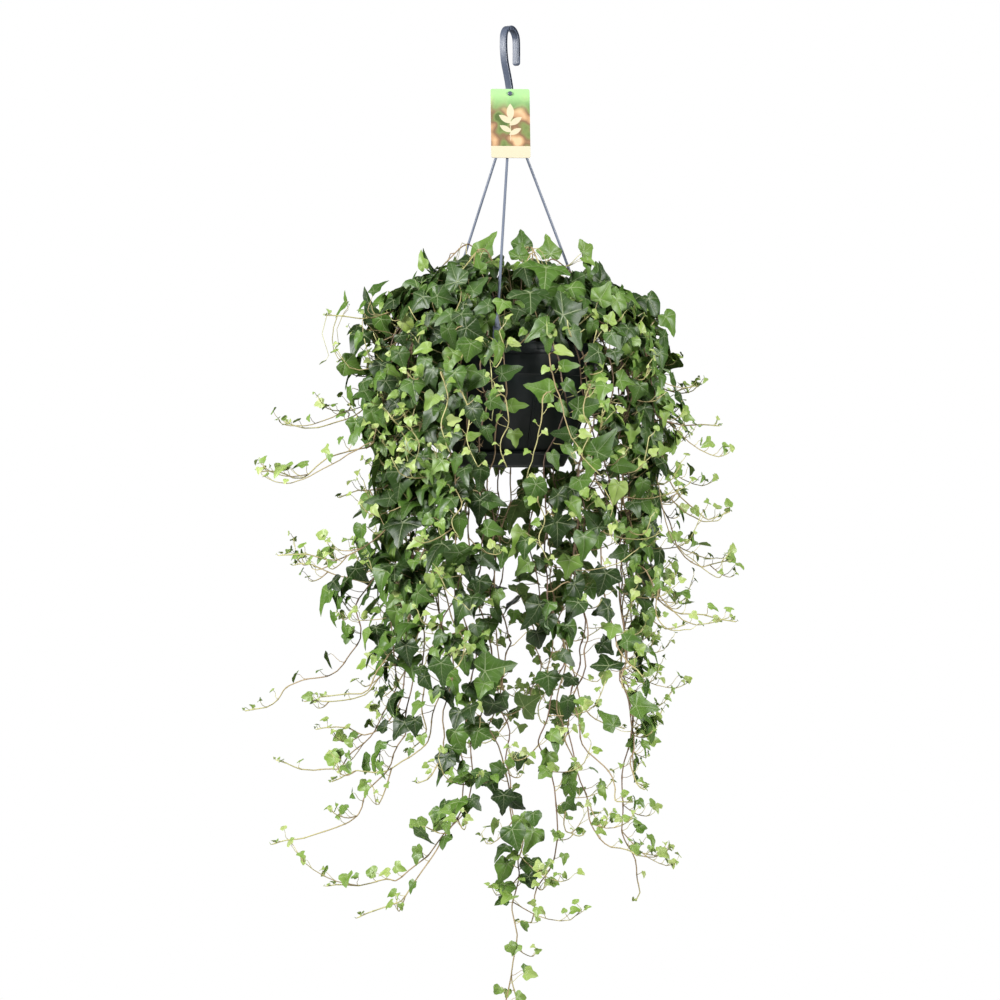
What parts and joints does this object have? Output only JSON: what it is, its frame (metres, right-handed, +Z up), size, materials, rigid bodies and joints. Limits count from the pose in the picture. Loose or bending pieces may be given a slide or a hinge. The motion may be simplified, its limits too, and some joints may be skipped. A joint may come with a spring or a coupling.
{
  "type": "potted anna english ivy in a hanging pot",
  "caption": "Trailing English ivy in a round hanging pot with a clip-on saucer, held by a hook on slim rods that clip to the rim.",
  "frame": {"origin": "inside of the hook's crown, where it bears on its support, on the pot's axis", "axes": "+Z up along the pot's axis, -Y towards the front where the label faces, +X to the right"},
  "size_m": [0.6637, 0.5042, 1.3355],
  "materials": {
    "pot_plastic": "satin",
    "hanger_plastic": "satin",
    "label_card": "satin",
    "potting_soil": "matte",
    "ivy": "satin"
  },
  "bodies": {
    "root": {"pot": "pot_plastic", "saucer": "pot_plastic", "soil": "potting_soil", "hook": "hanger_plastic", "rod_front": "hanger_plastic", "rod_right": "hanger_plastic", "rod_left": "hanger_plastic", "label": "label_card", "vine_01": "ivy", "vine_02": "ivy", "vine_03": "ivy", "vine_04": "ivy", "vine_05": "ivy", "vine_06": "ivy", "vine_07": "ivy", "vine_08": "ivy", "vine_09": "ivy", "vine_10": "ivy", "vine_11": "ivy", "vine_12": "ivy", "vine_13": "ivy", "vine_14": "ivy", "vine_15": "ivy", "vine_16": "ivy", "vine_17": "ivy", "vine_18": "ivy", "vine_19": "ivy", "vine_20": "ivy", "vine_21": "ivy", "vine_22": "ivy", "vine_23": "ivy", "vine_24": "ivy", "vine_25": "ivy", "vine_26": "ivy", "vine_27": "ivy", "vine_28": "ivy", "vine_29": "ivy", "vine_30": "ivy", "vine_31": "ivy", "vine_32": "ivy", "vine_33": "ivy", "vine_34": "ivy", "vine_35": "ivy", "vine_36": "ivy", "vine_37": "ivy", "vine_38": "ivy", "vine_39": "ivy", "vine_40": "ivy", "vine_41": "ivy", "vine_42": "ivy", "vine_43": "ivy", "vine_44": "ivy", "vine_45": "ivy", "vine_46": "ivy", "vine_47": "ivy", "vine_48": "ivy", "vine_49": "ivy", "vine_50": "ivy", "vine_51": "ivy"}
  },
  "joints": []
}
